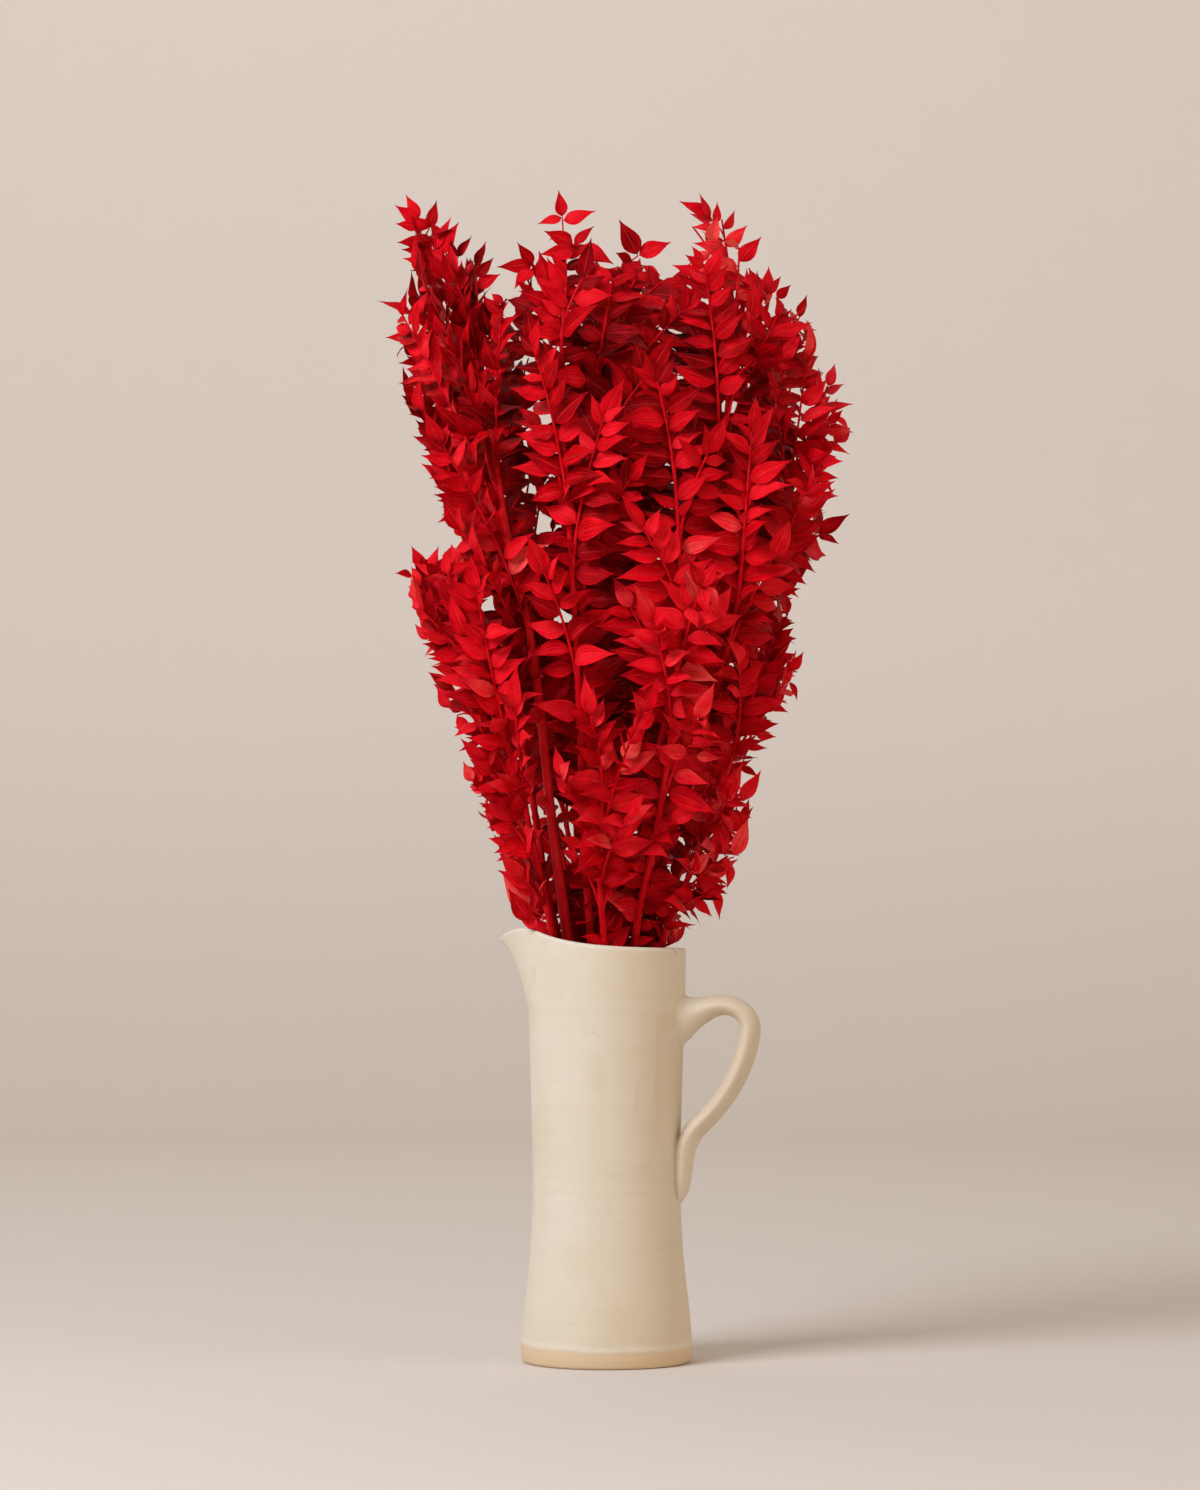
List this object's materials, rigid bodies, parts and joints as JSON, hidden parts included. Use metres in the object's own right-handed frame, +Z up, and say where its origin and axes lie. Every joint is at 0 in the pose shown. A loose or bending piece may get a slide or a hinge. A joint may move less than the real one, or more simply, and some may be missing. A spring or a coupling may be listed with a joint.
{
  "type": "dried ruscus bunch in a jug",
  "caption": "Full upright bunch of red dyed dried ruscus stems standing in a tall cream stoneware jug with a pouring lip and a pulled handle.",
  "frame": {"origin": "centre of the jug's flat foot", "axes": "+Z up, the jug's handle on +X and its pouring lip on -X; the bunch's front looks along -Y, turned 15 degrees towards +X"},
  "size_m": [0.3303, 0.3001, 0.8135],
  "materials": {
    "stoneware": "matte cream glaze",
    "ruscus": "dyed, matt to satin"
  },
  "bodies": {
    "root": {"jug": "stoneware", "stem_01": "ruscus", "stem_02": "ruscus", "stem_03": "ruscus", "stem_04": "ruscus", "stem_05": "ruscus", "stem_06": "ruscus", "stem_07": "ruscus", "stem_08": "ruscus", "stem_09": "ruscus", "stem_10": "ruscus", "stem_11": "ruscus", "stem_12": "ruscus", "stem_13": "ruscus", "stem_14": "ruscus", "stem_15": "ruscus", "stem_16": "ruscus"}
  },
  "joints": []
}
